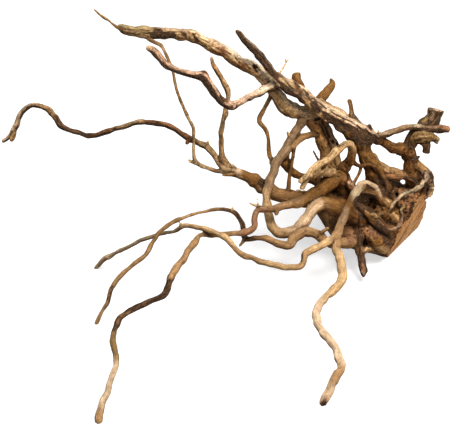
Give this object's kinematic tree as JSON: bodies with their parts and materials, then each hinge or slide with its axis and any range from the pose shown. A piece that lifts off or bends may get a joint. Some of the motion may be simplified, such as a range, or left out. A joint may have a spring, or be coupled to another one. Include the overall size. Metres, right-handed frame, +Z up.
{
  "type": "spiderwood root",
  "caption": "Gnarled root of a shrub: a sawn stump with long, thin, crooked limbs spreading to one side, lying on its root tips.",
  "frame": {"origin": "middle of the root's bounding box, on the surface that it lies on", "axes": "+X along the longest extent, from the limb tips to the sawn stump; +Z up; +Y away from the long front roots"},
  "size_m": [0.4704, 0.4057, 0.2418],
  "materials": {
    "root_wood": "dry, barkless, grained"
  },
  "bodies": {
    "root": {"spiderwood_root": "root_wood"}
  },
  "joints": []
}
